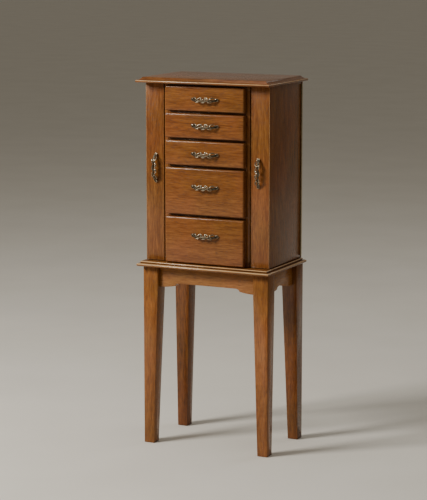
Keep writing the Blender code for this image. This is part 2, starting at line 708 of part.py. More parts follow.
def make_drawer(number, top_z, front_height, box_height, floor_level, pull_rise):
    """An overlay front with rounded edges, an open box behind it, and a pull."""
    bottom_z = top_z - front_height
    back_y = DOOR_FRONT_Y - GAP
    front_y = back_y - DRAWER_FRONT_THICKNESS
    pivot = add_pivot(f"drawer_{number}_slide", (0, back_y, (top_z + bottom_z) / 2))
    half = DRAWER_FRONT_WIDTH / 2
    radius = DRAWER_EDGE_RADIUS
    section = [(0, back_y - front_y)] + arc((radius, radius), radius, 180, 270, EDGE_STEPS)
    rings = []
    for inset, depth in section:
        xs = (-half + inset, half - inset)
        zs = (bottom_z + inset, top_z - inset)
        corners = ((xs[0], zs[0]), (xs[1], zs[0]), (xs[1], zs[1]), (xs[0], zs[1]))
        rings.append([(x, front_y + depth, z) for x, z in corners])
    add_object(f"drawer_{number}_front", loft(rings), WOOD, pivot, pivot.location, smooth=25)
    box_x = PARTITION_INNER_X - DRAWER_SIDE_CLEARANCE
    low = (-box_x, DOOR_FRONT_Y, floor_level)
    high = (box_x, DOOR_FRONT_Y + DRAWER_BOX_LENGTH, floor_level + box_height)
    box = open_box(low, high, DRAWER_WALL, DRAWER_FLOOR)
    add_object(f"drawer_{number}_box", box, INNER_WOOD, pivot, pivot.location)
    centre = (DRAWER_PULL_X, front_y - GAP, (top_z + bottom_z) / 2 + pull_rise)
    make_pull(f"drawer_{number}_pull", centre, (1, 0, 0), pivot)


def make_drawers():
    """Five drawers from the top down, each box just above the board it slides on."""
    floors = [level + BOARD / 2 for level in divider_levels()] + [CASE_BOTTOM_TOP_Z]
    top_z = DRAWER_FRONTS_TOP_Z
    for i, height in enumerate(DRAWER_FRONT_HEIGHTS):
        floor_level = floors[i] + DRAWER_FLOOR_CLEARANCE
        make_drawer(i + 1, top_z, height, DRAWER_BOX_HEIGHTS[i], floor_level, PULL_RISE[i])
        top_z -= height + DRAWER_FRONT_GAP


def main():
    """Builds the whole armoire in an empty scene."""
    for item in list(bpy.data.objects):
        bpy.data.objects.remove(item)
    make_stand()
    make_case()
    make_tray()
    make_lid()
    make_door("door_left", -1)
    make_door("door_right", 1)
    make_drawers()


main()
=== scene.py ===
"""Looks of the jewelry armoire: wood, cast pulls, hinges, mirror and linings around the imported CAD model.

Metres, +Z up, front towards -Y. Every place comes from the frame's own boxes.
"""

import json
import math
import random

import bmesh
import bpy
from mathutils import Matrix, Vector, noise

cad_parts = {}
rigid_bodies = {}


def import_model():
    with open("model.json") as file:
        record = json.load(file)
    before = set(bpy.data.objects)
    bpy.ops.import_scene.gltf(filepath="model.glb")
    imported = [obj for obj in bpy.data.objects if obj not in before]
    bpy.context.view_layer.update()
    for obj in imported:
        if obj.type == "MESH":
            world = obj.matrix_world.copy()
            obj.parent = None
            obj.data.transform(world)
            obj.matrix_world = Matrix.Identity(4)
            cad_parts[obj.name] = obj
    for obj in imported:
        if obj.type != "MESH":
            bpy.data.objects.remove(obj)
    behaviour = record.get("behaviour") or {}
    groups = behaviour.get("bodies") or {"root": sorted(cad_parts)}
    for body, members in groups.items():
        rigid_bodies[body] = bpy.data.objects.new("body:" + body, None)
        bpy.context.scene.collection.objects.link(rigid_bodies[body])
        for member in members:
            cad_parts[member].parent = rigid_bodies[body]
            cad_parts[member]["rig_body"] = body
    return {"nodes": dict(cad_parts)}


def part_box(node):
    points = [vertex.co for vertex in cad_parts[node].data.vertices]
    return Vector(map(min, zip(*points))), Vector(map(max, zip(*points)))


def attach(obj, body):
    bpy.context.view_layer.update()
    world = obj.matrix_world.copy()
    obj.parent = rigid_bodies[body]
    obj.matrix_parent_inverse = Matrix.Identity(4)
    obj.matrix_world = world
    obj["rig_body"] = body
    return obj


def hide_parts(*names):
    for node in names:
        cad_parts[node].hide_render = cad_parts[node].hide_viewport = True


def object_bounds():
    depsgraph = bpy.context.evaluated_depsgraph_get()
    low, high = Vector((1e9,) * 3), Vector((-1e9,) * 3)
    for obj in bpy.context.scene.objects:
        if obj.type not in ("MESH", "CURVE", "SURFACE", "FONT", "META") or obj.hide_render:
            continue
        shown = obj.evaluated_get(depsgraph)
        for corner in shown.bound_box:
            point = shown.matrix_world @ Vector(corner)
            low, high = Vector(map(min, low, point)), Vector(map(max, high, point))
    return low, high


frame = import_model()
CAD_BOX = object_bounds()
BODY_OF = {node: piece["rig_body"] for node, piece in frame["nodes"].items()}

MM = 0.001
WELD = 0.00001
DOORS = (("left", -1), ("right", 1))
DRAWERS = (1, 2, 3, 4, 5)
AXES = "XYZ"


# ---- camera, light and floor --------------------------------------------------------------------

CAMERA_PLACE = (2.2515, -4.6998, 1.4088)
CAMERA_TURN = 25.853
CAMERA_PITCH = 9.476
CAMERA_LENS = 138.5
FLOOR_RADIUS = 60
FLOOR_DROP = 0.2 * MM


def make_camera():
    """A long lens from the front right, a little above the lid."""
    data = bpy.data.cameras.new("camera")
    data.lens = CAMERA_LENS
    data.sensor_width = 36
    data.clip_start = 0.1
    data.clip_end = 100
    camera = bpy.data.objects.new("camera", data)
    camera.location = CAMERA_PLACE
    camera.rotation_euler = (math.radians(90 - CAMERA_PITCH), 0, math.radians(CAMERA_TURN))
    bpy.context.scene.collection.objects.link(camera)
    bpy.context.scene.camera = camera


def area_light(name, place, target, size, power, colour):
    """A square soft box that faces a point."""
    data = bpy.data.lights.new(name, "AREA")
    data.shape = "SQUARE"
    data.size = size
    data.energy = power
    data.color = colour
    light = bpy.data.objects.new(name, data)
    light.location = place
    light.rotation_euler = (Vector(target) - Vector(place)).to_track_quat("-Z", "Y").to_euler()
    bpy.context.scene.collection.objects.link(light)


def make_studio():
    """A soft key from the front left, soft boxes above and behind, an even sky and a pale floor."""
    centre = (0, 0, 0.65)
    area_light("key", (-2.1, -2.5, 2.5), centre, 1.0, 182, (1.0, 0.95, 0.87))
    area_light("top", (-0.4, -0.2, 4.0), centre, 2.6, 28, (1.0, 0.97, 0.92))
    area_light("back_fill", (1.8, 2.8, 2.8), centre, 1.6, 16, (1.0, 0.97, 0.92))
    world = bpy.data.worlds.new("studio")
    world.use_nodes = True
    world.node_tree.nodes["Background"].inputs["Color"].default_value = (0.95, 0.86, 0.71, 1)
    world.node_tree.nodes["Background"].inputs["Strength"].default_value = 0.22
    bpy.context.scene.world = world
    bm = bmesh.new()
    bmesh.ops.create_circle(bm, cap_ends=True, radius=FLOOR_RADIUS, segments=96)
    mesh = bpy.data.meshes.new("floor")
    bm.to_mesh(mesh)
    bm.free()
    floor = bpy.data.objects.new("floor", mesh)
    bpy.context.scene.collection.objects.link(floor)
    floor.location.z = CAD_BOX[0].z - FLOOR_DROP
    mesh.materials.append(floor_material())


# ---- materials ----------------------------------------------------------------------------------


class Look:
    """A Principled material, with short calls that add nodes and link them."""

    def __init__(self, name, roughness=0.5, metallic=0.0, **settings):
        self.material = bpy.data.materials.new(name)
        self.material.use_nodes = True
        self.tree = self.material.node_tree
        self.surface = self.tree.nodes["Principled BSDF"]
        self.surface.inputs["Roughness"].default_value = roughness
        self.surface.inputs["Metallic"].default_value = metallic
        for socket, value in settings.items():
            self.surface.inputs[socket.replace("_", " ")].default_value = value
        self.object_place = self.node("TexCoord").outputs["Object"]

    def node(self, kind, **inputs):
        """A new shader node. Each input is a number, a vector or another node's output."""
        made = self.tree.nodes.new(f"ShaderNode{kind}")
        for socket, value in inputs.items():
            self.feed(made.inputs[socket.replace("_", " ")], value)
        return made

    def feed(self, socket, value):
        """Links an output to a socket, or sets the socket's own value."""
        if isinstance(value, bpy.types.NodeSocket):
            self.tree.links.new(value, socket)
        else:
            socket.default_value = value

    def stretched(self, scale, shift=(0, 0, 0)):
        """The object's own coordinates, scaled on each axis and moved."""
        mapping = self.node("Mapping", Vector=self.object_place, Scale=scale, Location=shift)
        return mapping.outputs["Vector"]

    def noise(self, place, detail=2.0, roughness=0.5, distortion=0.0):
        """Soft noise from 0 to 1."""
        made = self.node("TexNoise", Vector=place, Scale=1.0, Detail=detail, Roughness=roughness)
        made.inputs["Distortion"].default_value = distortion
        return made.outputs["Fac"]

    def calc(self, operation, a, b=0.0, c=0.0):
        """One Math node."""
        made = self.tree.nodes.new("ShaderNodeMath")
        made.operation = operation
        for socket, value in zip(made.inputs, (a, b, c)):
            self.feed(socket, value)
        return made.outputs["Value"]

    def weighted(self, start, *terms):
        """A start value plus each (output, weight), where an output of 0.5 adds nothing."""
        total = start
        for output, weight in terms:
            centred = self.calc("MULTIPLY_ADD", output, weight, -weight / 2)
            total = self.calc("ADD", total, centred)
        return total

    def between(self, value, low, high, to_low=0.0, to_high=1.0):
        """Maps a value's range onto another one, held at both ends."""
        made = self.node("MapRange", Value=value)
        limits = {"From Min": low, "From Max": high, "To Min": to_low, "To Max": to_high}
        for socket, limit in limits.items():
            made.inputs[socket].default_value = limit
        made.interpolation_type = "SMOOTHSTEP"
        return made.outputs["Result"]

    def ramp(self, value, *stops):
        """Colours along a value. A stop is (position, colour)."""
        made = self.node("ValToRGB", Fac=value)
        elements = made.color_ramp.elements
        while len(elements) < len(stops):
            elements.new(1.0)
        for element, (position, colour) in zip(elements, stops):
            element.position = position
            element.color = (*colour, 1)
        return made.outputs["Color"]

    def blend(self, share, a, b, way="MIX"):
        """Mixes two colours."""
        made = self.tree.nodes.new("ShaderNodeMix")
        made.data_type = "RGBA"
        made.blend_type = way
        self.feed(made.inputs["Factor"], share)
        for socket, colour in (("A", a), ("B", b)):
            target = next(item for item in made.inputs if item.name == socket and item.type == "RGBA")
            self.feed(target, colour if isinstance(colour, bpy.types.NodeSocket) else (*colour, 1))
        return next(item for item in made.outputs if item.type == "RGBA")

    def openness(self, distance):
        """1 on open surfaces, falling to 0 deep in corners and gaps."""
        made = self.node("AmbientOcclusion", Distance=distance)
        made.samples = 6
        return made.outputs["AO"]

    def edges(self, radius):
        """Near 1 along outer and inner edges, 0 on flats."""
        rounded = self.node("Bevel", Radius=radius)
        rounded.samples = 4
        geometry = self.node("NewGeometry")
        dot = self.tree.nodes.new("ShaderNodeVectorMath")
        dot.operation = "DOT_PRODUCT"
        self.feed(dot.inputs[0], rounded.outputs["Normal"])
        self.feed(dot.inputs[1], geometry.outputs["Normal"])
        return self.between(dot.outputs["Value"], 0.80, 0.995, 1.0, 0.0)

    def finish(self, colour, roughness=None, height=None, bump=0.2, depth=0.0003):
        """Feeds the shader its colour, roughness and bump, and gives the material back."""
        self.feed(self.surface.inputs["Base Color"], colour)
        if roughness is not None:
            self.feed(self.surface.inputs["Roughness"], roughness)
        if height is not None:
            made = self.node("Bump", Height=height, Strength=bump, Distance=depth)
            self.feed(self.surface.inputs["Normal"], made.outputs["Normal"])
        return self.material


def floor_material():
    """A pale floor with a faint mottle."""
    look = Look("studio_floor", roughness=0.6)
    mottle = look.noise(look.stretched((3, 3, 3)), detail=4)
    return look.finish(look.ramp(mottle, (0.3, (0.68, 0.66, 0.61)), (0.7, (0.72, 0.70, 0.65))))


WALNUT = ((0.045, 0.014, 0.004), (0.145, 0.049, 0.013), (0.240, 0.093, 0.025), (0.350, 0.155, 0.050))
INNER = ((0.080, 0.030, 0.010), (0.220, 0.095, 0.032), (0.330, 0.165, 0.062), (0.430, 0.240, 0.105))
# Near-black brown painted into corners and gaps as shade.
PAINTED_SHADE = (0.018, 0.006, 0.003)
# Pale tan painted on as highlights along corners and on the upper sides of beads.
PAINTED_HIGHLIGHT = (0.62, 0.42, 0.22)
STAIN_STOPS = (0.10, 0.40, 0.66, 0.95)
RING_CYCLES = 62
WOODS = {}

# Noise cycles in a metre, along and across the grain.
GROWTH = (1.9, 15)
FIGURE = (5, 60)
STREAK = (26, 340)
FIBRE = (60, 1100)
PORES = (75, 1000)


def wood(grain, seed, stain=WALNUT, tone=0.0, roughness=0.30, crown=0.0, crown_top=1.0, rub=0.0):
    """Stained wood with its grain along one axis. Each seed is another board.

    The tone paints it lighter or darker as light and shade, the bead settings set how strong a painted
    highlight is on the upper side of rounded beads, up to a height, and the last setting is the width of a
    painted highlight line along the corners.
    """
    key = (grain, seed, stain, tone, roughness, crown, crown_top, rub)
    if key in WOODS:
        return WOODS[key]
    name = f"wood_{grain}_{len(WOODS) + 1}"
    look = Look(name, Coat_Weight=0.10, Coat_Roughness=0.18, Specular_IOR_Level=0.24)
    spread = random.Random(seed)
    shift = tuple(spread.uniform(0, 40) for _ in range(3))

    def along_grain(along, across):
        """The board's coordinates, scaled along and across its grain."""
        return look.stretched(tuple(along if axis == grain else across for axis in AXES), shift)

    growth = look.noise(along_grain(*GROWTH), detail=1.5, distortion=0.3)
    rings = look.calc("SINE", look.calc("MULTIPLY", growth, RING_CYCLES))
    rings = look.calc("MULTIPLY_ADD", rings, 0.5, 0.5)
    figure = look.noise(along_grain(*FIGURE), detail=3, roughness=0.6)
    streak = look.noise(along_grain(*STREAK), detail=3, roughness=0.6)
    fibre = look.noise(along_grain(*FIBRE), detail=3, roughness=0.7)
    blotch = look.noise(look.stretched((8, 8, 8), shift), detail=2)
    pores = look.between(look.noise(along_grain(*PORES), detail=1), 0.56, 0.66)
    terms = ((growth, 0.14), (rings, 0.09), (figure, 0.12), (fibre, 0.66), (streak, 0.72), (blotch, 0.12))
    colour = look.ramp(look.weighted(0.50 + tone, *terms), *zip(STAIN_STOPS, stain))
    warmth = look.ramp(blotch, (0.35, (0.92, 1.0, 0.80)), (0.65, (1.0, 0.90, 0.90)))
    colour = look.blend(0.8, colour, warmth, "MULTIPLY")
    colour = look.blend(look.calc("MULTIPLY", pores, 0.55), colour, stain[0])
    # Painted shade: corners, gaps and recesses are darkened towards a near-black brown, the more the closer
    # in.
    shade = look.between(look.openness(0.005), 0.15, 0.75, 0.55, 0.0)
    colour = look.blend(shade, colour, PAINTED_SHADE)
    # Painted highlight: rounded edges and corners are lightened towards the palest stain colour, patchy along
    # the streaks.
    edge_highlight = look.calc("MULTIPLY", look.edges(0.0016), look.between(streak, 0.35, 0.60, 0.20, 0.70))
    colour = look.blend(edge_highlight, colour, stain[3])
    # Painted highlight: a bright tan line of the given width along the corners.
    if rub:
        colour = look.blend(look.calc("MULTIPLY", look.edges(rub), 0.60), colour, PAINTED_HIGHLIGHT)
    # Painted highlight: upward-facing rounded faces below a set height are lightened towards a pale tan, as
    # if lit from above.
    if crown:
        up = look.node("SeparateXYZ", Vector=look.node("TexCoord").outputs["Normal"]).outputs["Z"]
        not_flat = look.between(up, 0.90, 0.985, 1.0, 0.0)
        rounded = look.calc("MULTIPLY", look.between(up, 0.05, 0.45), not_flat)
        level = look.node("SeparateXYZ", Vector=look.object_place).outputs["Z"]
        rounded = look.calc("MULTIPLY", rounded, look.calc("LESS_THAN", level, crown_top))
        rubbed = look.calc("MULTIPLY", rounded, look.between(streak, 0.30, 0.65, 0.6 * crown, crown))
        colour = look.blend(rubbed, colour, PAINTED_HIGHLIGHT)
    rough = look.weighted(roughness, (figure, 0.10), (fibre, 0.10), (pores, 0.22))
    height = look.weighted(0.5, (fibre, 0.30), (rings, 0.08), (pores, -0.6))
    WOODS[key] = look.finish(colour, rough, height, bump=0.16, depth=0.0002)
    return WOODS[key]


def antique_brass():
    """Cast brass with brown patina in its hollows, painted shade there and near the wood behind it, and
    rubbed high spots.
    """
    look = Look("antique_brass", metallic=1.0)
    cloud = look.noise(look.stretched((260, 260, 260)), detail=4, roughness=0.6)
    fine = look.noise(look.stretched((1500, 1500, 1500)), detail=3)
    high_spot = look.between(look.node("NewGeometry").outputs["Pointiness"], 0.490, 0.540)
    # Partly patina, partly painted shade: the hollows and the parts near the wood behind go dark.
    clear_of_patina_and_shade = look.between(look.openness(0.006), 0.35, 1.0)
    rub = look.weighted(look.calc("MULTIPLY", clear_of_patina_and_shade, high_spot), (cloud, 0.40), (fine, 0.15))
    colour = look.ramp(
        rub,
        (0.12, (0.010, 0.007, 0.004)),
        (0.42, (0.085, 0.065, 0.042)),
        (0.70, (0.310, 0.260, 0.180)),
        (0.92, (0.82, 0.77, 0.65)),
    )
    rough = look.between(rub, 0.1, 1.0, 0.55, 0.22)
    return look.finish(colour, rough, fine, bump=0.25, depth=0.0002)


def plain_metal(name, dark, light, roughness):
    """Machined metal with faint brushing and stains."""
    look = Look(name, metallic=1.0)
    cloud = look.noise(look.stretched((180, 180, 180)), detail=3)
    lines = look.noise(look.stretched((1400, 1400, 40)), detail=2)
    value = look.weighted(0.5, (cloud, 0.7), (lines, 0.3))
    rough = look.weighted(roughness, (cloud, 0.16), (lines, 0.10))
    return look.finish(look.ramp(value, (0.2, dark), (0.8, light)), rough, lines, bump=0.12, depth=0.0001)


def velvet(name, dark, light):
    """Short-piled cloth: soft mottling, fine pile and a pale sheen."""
    look = Look(name, roughness=0.92, Sheen_Weight=0.55, Sheen_Roughness=0.35)
    look.surface.inputs["Sheen Tint"].default_value = (*(min(1, part * 3) for part in light), 1)
    pile = look.noise(look.stretched((1900, 1900, 1900)), detail=2)
    nap = look.noise(look.stretched((42, 42, 42)), detail=3, roughness=0.6, distortion=0.8)
    value = look.weighted(0.5, (pile, 0.5), (nap, 0.7))
    rough = look.weighted(0.92, (nap, 0.08))
    return look.finish(look.ramp(value, (0.2, dark), (0.8, light)), rough, pile, bump=0.5, depth=0.0004)


def mirror_glass():
    """Silvered glass with very faint smears."""
    look = Look("mirror_glass", metallic=1.0)
    smear = look.noise(look.stretched((12, 34, 12)), detail=4, roughness=0.6, distortion=1.0)
    colour = look.ramp(smear, (0.3, (0.80, 0.83, 0.82)), (0.7, (0.88, 0.90, 0.89)))
    return look.finish(colour, look.between(smear, 0.45, 0.80, 0.015, 0.06))


BRASS = antique_brass()
STEEL = plain_metal("hinge_brass", (0.30, 0.24, 0.14), (0.52, 0.44, 0.29), 0.34)
MAGNET = plain_metal("magnet_steel", (0.20, 0.20, 0.20), (0.42, 0.42, 0.41), 0.38)
VELVET = velvet("velvet", (0.026, 0.011, 0.009), (0.105, 0.050, 0.040))
FELT = velvet("felt", (0.020, 0.010, 0.006), (0.075, 0.038, 0.024))
GLASS = mirror_glass()


# ---- mesh helpers -------------------------------------------------------------------------------


def add_piece(name, mesh, body, material, stands_for=(), smooth=None):
    """Adds a mesh as a piece that rides on a body, and hides the CAD nodes it stands for."""
    if smooth is not None:
        mesh.shade_smooth()
        mesh.set_sharp_from_angle(angle=math.radians(smooth))
    piece = bpy.data.objects.new(name, mesh)
    bpy.context.scene.collection.objects.link(piece)
    mesh.materials.clear()
    mesh.materials.append(material)
    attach(piece, body)
    if stands_for:
        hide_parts(*stands_for)
    return piece


def mesh_of(bm, name):
    """Turns a bmesh into a mesh with its faces pointing out."""
    bmesh.ops.recalc_face_normals(bm, faces=bm.faces)
    mesh = bpy.data.meshes.new(name)
    bm.to_mesh(mesh)
    bm.free()
    return mesh


def clean_copy(node):
    """A bmesh of a CAD node with its corners welded and its flat faces whole again."""
    bm = bmesh.new()
    bm.from_mesh(frame["nodes"][node].data)
    bmesh.ops.remove_doubles(bm, verts=bm.verts, dist=WELD)
    bmesh.ops.dissolve_limit(bm, angle_limit=math.radians(0.6), verts=bm.verts, edges=bm.edges)
    bmesh.ops.recalc_face_normals(bm, faces=bm.faces)
    return bm


def ease(bm, width, segments=3, sharper_than=30):
    """Rounds every edge that turns more than an angle."""
    sharp = [
        edge for edge in bm.edges
        if len(edge.link_faces) == 2 and edge.calc_face_angle() > math.radians(sharper_than)
    ]
    bmesh.ops.bevel(
        bm, geom=sharp, offset=width, segments=segments, profile=0.5, affect="EDGES", clamp_overlap=True
    )


def wooden(node, grain, seed, width=0.0008, segments=3, **look):
    """Stands for a wooden CAD node with the same board, its edges eased and its grain along one axis."""
    bm = clean_copy(node)
    ease(bm, width, segments)
    material = wood(grain, seed, **look)
    add_piece(f"{node}_board", mesh_of(bm, node), BODY_OF[node], material, [node], smooth=35)


# ---- wooden parts -------------------------------------------------------------------------------

LID_LIP = 6 * MM


def make_boards():
    """The stand, the case and the doors, each board with its own grain."""
    for number, name in enumerate(("front_left", "front_right", "back_left", "back_right")):
        # Front legs painted lighter and back legs painted darker, as lit and shaded copies of one stain.
        wooden(f"leg_{name}", "Z", 10 + number, width=0.0012, tone=0.08 if "front" in name else -0.10)
    for number, (name, grain) in enumerate((("front", "X"), ("back", "X"), ("left", "Y"), ("right", "Y"))):
        # Aprons painted lighter as light, where the moulding above shades them.
        wooden(f"apron_{name}", grain, 20 + number, tone=0.20)
    # Painted highlight on the upper sides of the moulding's beads.
    wooden("base_moulding", "X", 30, width=0.0003, segments=2, crown=0.75)
    # Lid painted a little darker as shade, with a painted highlight on the upper side of its edge below the
    # lip's top.
    lip_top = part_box("lid_panel")[0].z + LID_LIP
    wooden("lid_panel", "X", 31, width=0.0004, segments=2, tone=-0.06, crown=0.75, crown_top=lip_top)
    wooden("case_bottom", "X", 32)
    wooden("case_top", "X", 33)
    wooden("case_back", "Z", 34)
    for number in DRAWERS[:-1]:
        wooden(f"drawer_divider_{number}", "X", 40 + number)
    for name, _ in DOORS:
        # Partitions painted lighter as light, where the drawer fronts shade them.
        wooden(f"partition_{name}", "Z", 50, width=0.0010, tone=0.10)
        # Door stiles get a painted highlight line along their corners.
        wooden(f"door_{name}_stile", "Z", 52 + len(name), width=0.0009, rub=0.0022)
        # Side panels painted a little darker, deepening the shade on the cabinet's sides.
        wooden(f"door_{name}_panel", "Z", 54 + len(name), width=0.0009, tone=-0.05)
    for number in DRAWERS:
        wooden(f"drawer_{number}_front", "X", 60 + number, width=0.0006, segments=2)
        wooden(f"drawer_{number}_box", "Y", 70 + number, stain=INNER, roughness=0.5)
    wooden("ring_tray", "Y", 80, stain=INNER, roughness=0.5)
    wooden("tray_dividers", "Y", 81, stain=INNER, roughness=0.5)
    wooden("mirror_frame", "X", 82, width=0.0012)


# ---- curves and small metal ---------------------------------------------------------------------


PATH_STEPS = 8


def through(points):
    """A smooth path through points, as a Catmull-Rom curve."""
    ends = [2 * points[0] - points[1], *points, 2 * points[-1] - points[-2]]
    path = []
    for a, b, c, d in zip(ends, ends[1:], ends[2:], ends[3:]):
        for step in range(PATH_STEPS):
            t = step / PATH_STEPS
            square = (2 * a - 5 * b + 4 * c - d) * t * t
            cube = (3 * b - a - 3 * c + d) * t ** 3
            path.append(0.5 * (2 * b + (c - a) * t + square + cube))
    return path + [points[-1]]


def round_loop(bm, centre, side, up, radius, sides):
    """Adds the points of a circle that lies along two directions."""
    loop = []
    for k in range(sides):
        turn = 2 * math.pi * k / sides
        offset = side * math.cos(turn) + up * math.sin(turn)
        loop.append(bm.verts.new(centre + offset * radius))
    return loop


def skin(bm, loops):
    """Joins loops of equal point counts into a closed skin, with a flat cap at each end."""
    for near, far in zip(loops, loops[1:]):
        for k in range(len(near)):
            j = (k + 1) % len(near)
            bm.faces.new((near[k], near[j], far[j], far[k]))
    bm.faces.new(list(reversed(loops[0])))
    bm.faces.new(loops[-1])


def tapered(path, start, loss):
    """Radii along a path that shrink from a start by a loss, both in mm."""
    return [(start - loss * i / len(path)) * MM for i in range(len(path))]


def bulging(path, thin, gain):
    """Radii along a path, thin at its ends and thicker by a gain in its middle, both in mm."""
    return [(thin + gain * math.sin(math.pi * i / len(path))) * MM for i in range(len(path))]


def add_strand(bm, path, radii, sides=10):
    """Adds a closed round bar along a path, with a ball at each end."""
    side = (path[1] - path[0]).normalized().orthogonal().normalized()
    loops = []
    for i, point in enumerate(path):
        ahead = (path[min(i + 1, len(path) - 1)] - path[max(i - 1, 0)]).normalized()
        side = (side - ahead * side.dot(ahead)).normalized()
        loops.append(round_loop(bm, point, side, ahead.cross(side), radii[i], sides))
    skin(bm, loops)
    for point, radius in ((path[0], radii[0]), (path[-1], radii[-1])):
        add_ball(bm, point, radius)


def add_ball(bm, centre, radius, squash=(1, 1, 1)):
    """Adds a ball, or an ellipsoid."""
    place = Matrix.Translation(centre) @ Matrix.Diagonal((*squash, 1))
    bmesh.ops.create_icosphere(bm, subdivisions=2, radius=radius, matrix=place)


def add_turning(bm, base, axis, outline, sides=20):
    """Adds a turned shape. The outline is (distance along the axis, radius)."""
    axis = Vector(axis).normalized()
    side = axis.orthogonal().normalized()
    up = axis.cross(side)
    places = [(Vector(base) + axis * along, radius) for along, radius in outline]
    skin(bm, [round_loop(bm, centre, side, up, radius, sides) for centre, radius in places])


def add_box(bm, low, high):
    """Adds a box between two corners."""
    middle = (Vector(low) + Vector(high)) / 2
    size = Vector(high) - Vector(low)
    place = Matrix.Translation(middle) @ Matrix.Diagonal((*size, 1))
    bmesh.ops.create_cube(bm, size=1, matrix=place)


def add_screw(bm, place, axis, radius=1.9 * MM, proud=0.35 * MM):
    """Adds a low domed screw head with a raised bar across it. The axis points out of the surface."""
    dome = [(0.7 * proud, 0.85 * radius), (proud, 0.45 * radius)]
    outline = [(-0.3 * MM, radius), (0.1 * MM, radius), *dome]
    add_turning(bm, place, axis, outline, sides=18)
    axis = Vector(axis).normalized()
    side = axis.orthogonal().normalized()
    bar = [Vector(place) + side * s * radius * 0.8 + axis * proud for s in (-1, 1)]
    add_strand(bm, bar, [0.16 * radius] * 2, sides=6)


# ---- cast pulls ---------------------------------------------------------------------------------

PULL_FOOT = 1.6 * MM
PULL_BAR = 2.3 * MM
PULL_RISING_SHARE = 0.62
PULL_RISING_POWER = 1.5
PULL_VOXEL = 0.40 * MM
BAR_STEPS = 20
BAR_END = 17

# Points on a pull: the share of its half length, the height in mm, and how far out of the arch in mm.
VINE = ((0.84, -2.8, -0.2), (0.66, -3.6, 0.0), (0.50, -1.4, 1.2), (0.36, 2.4, 1.0), (0.26, 5.0, 0.3))
LEAF = ((0.42, -1.8, 0.5), (0.48, 2.2, 1.2), (0.58, 5.2, 0.6), (0.69, 5.6, 0.3), (0.76, 3.4, 0.2))
FOLD = ((0.26, -3.4, 0.2), (0.38, -6.0, 0.4), (0.52, -6.4, 0.3), (0.62, -4.6, 0.0))
DROP = ((-0.19, -3.4, 0.3), (-0.11, -6.0, 0.3), (0, -7.0, 0.3), (0.11, -6.0, 0.3), (0.19, -3.4, 0.3))


def pull_mesh():
    """A cast pull along X, its back on the plane y = 0: a bar that arches out from two feet, with scrolls."""
    low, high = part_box("drawer_1_pull")
    half = (high.x - low.x) / 2
    peak = high.y - low.y - PULL_BAR
    bm = bmesh.new()

    def at(t, v, out=0.0):
        """A point at a share t of the half length and a height v in mm, on the arch or a little out of it."""
        share = min(1, max(0, (1 - abs(t)) / PULL_RISING_SHARE))
        rise = math.sin(share * math.pi / 2) ** PULL_RISING_POWER
        lift = PULL_FOOT + (peak - PULL_FOOT) * rise
        return Vector((t * half, -lift - out * MM, v * MM))

    def curl(t, v, radius, start, turns, steps=16):
        """Points of a spiral that tightens round a point. Turns below 0 run clockwise."""
        points = []
        for step in range(steps + 1):
            share = step / steps
            turn = math.radians(start) + 2 * math.pi * turns * share
            reach = radius * (1 - 0.62 * share)
            points.append(at(t + reach * MM * math.cos(turn) / half, v + reach * math.sin(turn), 0.5 * share))
        return points

    shares = [step / BAR_STEPS for step in range(-BAR_END, BAR_END + 1)]
    bar = [at(t, 2.4 - 5.6 * math.cos(t * math.pi / 2)) for t in shares]
    add_strand(bm, bar, [(1.75 + 0.85 * math.cos(p.x / half * math.pi / 2) ** 4) * MM for p in bar])
    for side in (-1, 1):
        vine = [at(side * t, v, out) for t, v, out in VINE]
        eye = curl(side * 0.150, 3.0, 3.0, 90 - side * 35, side * 1.2)
        path = through(vine + eye[::2])
        add_strand(bm, path, tapered(path, 1.55, 0.50))
        add_ball(bm, eye[-1], 1.30 * MM)
        leaf = through([at(side * t, v, out) for t, v, out in LEAF])
        add_strand(bm, leaf, bulging(leaf, 0.80, 0.95))
        fold = through([at(side * t, v, out) for t, v, out in FOLD])
        add_strand(bm, fold, bulging(fold, 0.70, 0.85))
        scroll = curl(side * 0.870, 1.0, 4.2, 90 + side * 100, side * 1.3, steps=22)
        add_strand(bm, scroll, tapered(scroll, 1.50, 0.55))
        add_ball(bm, scroll[-1], 1.20 * MM)
        foot = at(side * 0.80, 0.2)
        base = Vector((foot.x, 0, foot.z))
        post = [(0, 3.6 * MM), (0.9 * MM, 3.6 * MM), (1.5 * MM, 2.6 * MM), (-foot.y, 1.9 * MM)]
        add_turning(bm, base, (0, -1, 0), post)
    drop = through([at(*point) for point in DROP])
    add_strand(bm, drop, [1.25 * MM] * len(drop))
    add_ball(bm, at(0, 0.6, 0.2), 1.7 * MM, (1.0, 0.8, 1.3))
    rough = bpy.data.objects.new("pull_rough", mesh_of(bm, "pull_rough"))
    bpy.context.scene.collection.objects.link(rough)
    fused = rough.modifiers.new("fused", "REMESH")
    fused.mode = "VOXEL"
    fused.voxel_size = PULL_VOXEL
    softened = rough.modifiers.new("softened", "SMOOTH")
    softened.factor = 0.5
    softened.iterations = 2
    return applied(rough, "cast_pull")


def applied(piece, name):
    """The evaluated mesh of a helper object, which is then removed."""
    graph = bpy.context.evaluated_depsgraph_get()
    mesh = bpy.data.meshes.new_from_object(piece.evaluated_get(graph))
    mesh.name = name
    bpy.data.objects.remove(piece)
    return mesh


